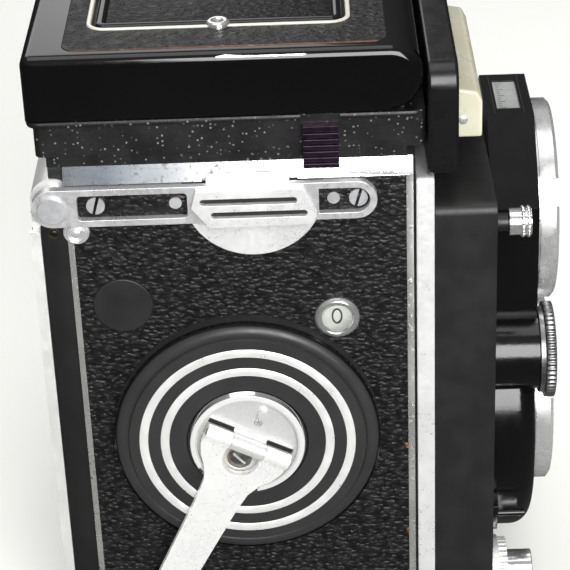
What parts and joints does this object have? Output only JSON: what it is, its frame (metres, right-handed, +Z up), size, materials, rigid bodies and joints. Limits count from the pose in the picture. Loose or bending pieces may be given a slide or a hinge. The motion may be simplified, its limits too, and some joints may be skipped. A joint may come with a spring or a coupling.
{
  "type": "twin lens reflex camera",
  "caption": "Twin lens reflex roll-film camera with folding crank, folding finder hood, moving front standard, hinged back and working film transport.",
  "frame": {"origin": "centre of the mouth of the tripod socket, in the plane of the base", "axes": "+Z up, -Y the way the lenses look, -X the crank side, +X the focusing knob side"},
  "size_m": [0.1021, 0.108, 0.1469],
  "materials": {
    "black_enamel": "glossy black enamel",
    "satin_black": "satin black paint",
    "crackle_black": "fine crackle black paint",
    "black_leather": "black pebble-grained leatherette",
    "polished_chrome": "bright chrome plating",
    "satin_chrome": "satin chrome plating, lightly pitted",
    "bare_aluminium": "turned bright aluminium",
    "gear_brass": "machined brass",
    "coated_glass": "coated optical glass",
    "clear_glass": "clear glass",
    "front_mirror": "front silvered mirror",
    "cream_plastic": "translucent cream plastic",
    "cell_plastic": "light meter cell grid",
    "dial_white": null,
    "steel_dark": "blackened spring steel",
    "catch_violet": "black anodised with a violet cast"
  },
  "bodies": {
    "camera_body": {"chassis": "satin_black", "crank_side_cover": "satin_chrome", "crank_side_leather": "black_leather", "knob_side_cover": "satin_chrome", "knob_side_leather": "black_leather", "front_frame": "satin_chrome", "tripod_socket": "satin_chrome", "reflex_mirror": "front_mirror", "focusing_screen": "clear_glass", "crank_flange": "black_enamel", "counter_bezel": "polished_chrome", "counter_window": "clear_glass", "spool_bearing_cap": "black_enamel", "strap_bars": "polished_chrome", "strap_lugs": "polished_chrome", "strap_wear_plates": "polished_chrome", "screws_and_pins": "bare_aluminium", "meter_housing": "black_enamel", "meter_cell": "cell_plastic"},
    "diffuser": {"meter_diffuser": "cream_plastic"},
    "standard": {"front_standard": "satin_black", "lens_housing": "black_enamel", "viewing_bayonet": "polished_chrome", "taking_bayonet": "polished_chrome", "viewing_lens": "coated_glass", "taking_lens": "coated_glass", "shutter_blades": "steel_dark"},
    "aperture_dial": {"aperture_wheel": "satin_black"},
    "speed_dial": {"speed_wheel": "satin_black"},
    "flash_clamp": {"flash_socket_clamp": "polished_chrome"},
    "timer": {"self_timer_lever": "black_enamel"},
    "release": {"release_button": "polished_chrome"},
    "collar": {"release_collar": "satin_chrome"},
    "crank": {"crank_hub": "polished_chrome", "crank_gear": "gear_brass", "crank_hinge_pin": "gear_brass"},
    "arm": {"crank_arm": "polished_chrome"},
    "grip": {"crank_knob": "bare_aluminium"},
    "idler": {"idler_gear": "gear_brass"},
    "take_up": {"take_up_gear": "gear_brass", "take_up_spool": "satin_black"},
    "counter": {"counter_dial": "dial_white"},
    "focus": {"focus_knob": "satin_black", "focus_shaft": "satin_chrome"},
    "back": {"back_door": "satin_chrome", "back_leather": "black_leather"},
    "plate": {"pressure_plate": "satin_black"},
    "latch": {"back_latch": "satin_chrome"},
    "hood": {"hood_base": "crackle_black"},
    "lid": {"hood_lid": "black_enamel", "lid_leather": "black_leather", "finder_flap": "polished_chrome"},
    "wall_right": {"hood_wall_right": "satin_black"},
    "wall_left": {"hood_wall_left": "satin_black"},
    "wall_rear": {"hood_wall_rear": "satin_black"},
    "loupe": {"magnifier": "clear_glass"},
    "catch_right": {"hood_catch_right": "catch_violet"},
    "catch_left": {"hood_catch_left": "catch_violet"},
    "pull_upper": {"spool_knob_upper": "satin_chrome"},
    "pull_lower": {"spool_knob_lower": "satin_chrome"}
  },
  "joints": [
    {"name": "diffuser_lift", "type": "slide", "parent": "camera_body", "child": "diffuser", "axis": [0, 0, 1], "range_m": [0, 0.012]},
    {"name": "focus_turn", "type": "hinge", "parent": "camera_body", "child": "focus", "pos_m": [0.04, -0.004, 0.07], "axis": [1, 0, 0], "range_deg": [0, 270]},
    {"name": "standard_slide", "type": "slide", "parent": "camera_body", "child": "standard", "axis": [0, -1, 0], "range_m": [0, 0.0061]},
    {"name": "aperture_turn", "type": "hinge", "parent": "standard", "child": "aperture_dial", "pos_m": [-0.025, -0.062, 0.069], "axis": [0, -1, 0], "range_deg": [-60, 60]},
    {"name": "speed_turn", "type": "hinge", "parent": "standard", "child": "speed_dial", "pos_m": [0.025, -0.062, 0.069], "axis": [0, -1, 0], "range_deg": [-60, 60]},
    {"name": "flash_clamp_turn", "type": "hinge", "parent": "standard", "child": "flash_clamp", "pos_m": [-0.0344, -0.055, 0.105], "axis": [0, -1, 0], "range_deg": [0, 90]},
    {"name": "timer_swing", "type": "hinge", "parent": "standard", "child": "timer", "pos_m": [0, -0.052, 0.045], "axis": [0, 1, 0], "range_deg": [0, 34]},
    {"name": "release_press", "type": "slide", "parent": "standard", "child": "release", "axis": [0, 1, 0], "range_m": [0, 0.0035]},
    {"name": "collar_turn", "type": "hinge", "parent": "standard", "child": "collar", "pos_m": [-0.03, -0.053, 0.0152], "axis": [0, -1, 0], "range_deg": [0, 60]},
    {"name": "crank_turn", "type": "hinge", "parent": "camera_body", "child": "crank", "pos_m": [-0.038, 0, 0.06], "axis": [1, 0, 0], "continuous": true},
    {"name": "arm_fold", "type": "hinge", "parent": "crank", "child": "arm", "pos_m": [-0.0454, 0, 0.06], "axis": [0, 0.891, 0.454], "range_deg": [0, 180]},
    {"name": "grip_spin", "type": "hinge", "parent": "arm", "child": "grip", "pos_m": [-0.042, 0.02007, 0.02062], "axis": [1, 0, 0], "continuous": true},
    {"name": "idler_turn", "type": "hinge", "parent": "camera_body", "child": "idler", "pos_m": [-0.035, 0.01371, 0.07771], "axis": [1, 0, 0], "continuous": true},
    {"name": "take_up_turn", "type": "hinge", "parent": "camera_body", "child": "take_up", "pos_m": [-0.035, 0.024, 0.091], "axis": [1, 0, 0], "continuous": true},
    {"name": "counter_turn", "type": "hinge", "parent": "camera_body", "child": "counter", "pos_m": [-0.036, -0.016, 0.092], "axis": [1, 0, 0], "continuous": true},
    {"name": "back_open", "type": "hinge", "parent": "camera_body", "child": "back", "pos_m": [0, 0.0364, 0.1142], "axis": [1, 0, 0], "range_deg": [0, 100]},
    {"name": "plate_press", "type": "slide", "parent": "back", "child": "plate", "axis": [0, 1, 0], "range_m": [0, 0.0009]},
    {"name": "latch_slide", "type": "slide", "parent": "back", "child": "latch", "axis": [0, -1, 0], "range_m": [0, 0.0014]},
    {"name": "hood_lift", "type": "slide", "parent": "camera_body", "child": "hood", "axis": [0, 0, 1], "range_m": [0, 0.03]},
    {"name": "lid_open", "type": "hinge", "parent": "hood", "child": "lid", "pos_m": [0, -0.0306, 0.13887], "axis": [1, 0, 0], "range_deg": [0, 95]},
    {"name": "wall_right_open", "type": "hinge", "parent": "hood", "child": "wall_right", "pos_m": [-0.033, 0, 0.1333], "axis": [0, -1, 0], "range_deg": [0, 90]},
    {"name": "wall_left_open", "type": "hinge", "parent": "hood", "child": "wall_left", "pos_m": [0.033, 0, 0.1333], "axis": [0, 1, 0], "range_deg": [0, 90]},
    {"name": "wall_rear_open", "type": "hinge", "parent": "hood", "child": "wall_rear", "pos_m": [0, 0.0312, 0.1352], "axis": [-1, 0, 0], "range_deg": [0, 90]},
    {"name": "loupe_swing", "type": "hinge", "parent": "lid", "child": "loupe", "pos_m": [0, -0.0056, 0.1415], "axis": [-1, 0, 0], "range_deg": [0, 95]},
    {"name": "catch_right_slide", "type": "slide", "parent": "hood", "child": "catch_right", "axis": [0, 0, 1], "range_m": [0, 0.0019]},
    {"name": "catch_left_slide", "type": "slide", "parent": "hood", "child": "catch_left", "axis": [0, 0, 1], "range_m": [0, 0.0019]},
    {"name": "pull_upper_slide", "type": "slide", "parent": "camera_body", "child": "pull_upper", "axis": [1, 0, 0], "range_m": [0, 0.006]},
    {"name": "pull_lower_slide", "type": "slide", "parent": "camera_body", "child": "pull_lower", "axis": [1, 0, 0], "range_m": [0, 0.006]}
  ],
  "couplings": [
    {"joint": "standard_slide", "follows": "focus_turn", "m_per_rad": 0.0012945},
    {"joint": "idler_turn", "follows": "crank_turn", "ratio": -1.8},
    {"joint": "take_up_turn", "follows": "crank_turn", "ratio": 1.6364},
    {"joint": "counter_turn", "follows": "crank_turn", "ratio": -0.076923},
    {"joint": "wall_right_open", "follows": "lid_open", "ratio": 0.947},
    {"joint": "wall_left_open", "follows": "lid_open", "ratio": 0.947},
    {"joint": "wall_rear_open", "follows": "lid_open", "ratio": 0.947},
    {"joint": "loupe_swing", "follows": "lid_open", "ratio": 1}
  ]
}
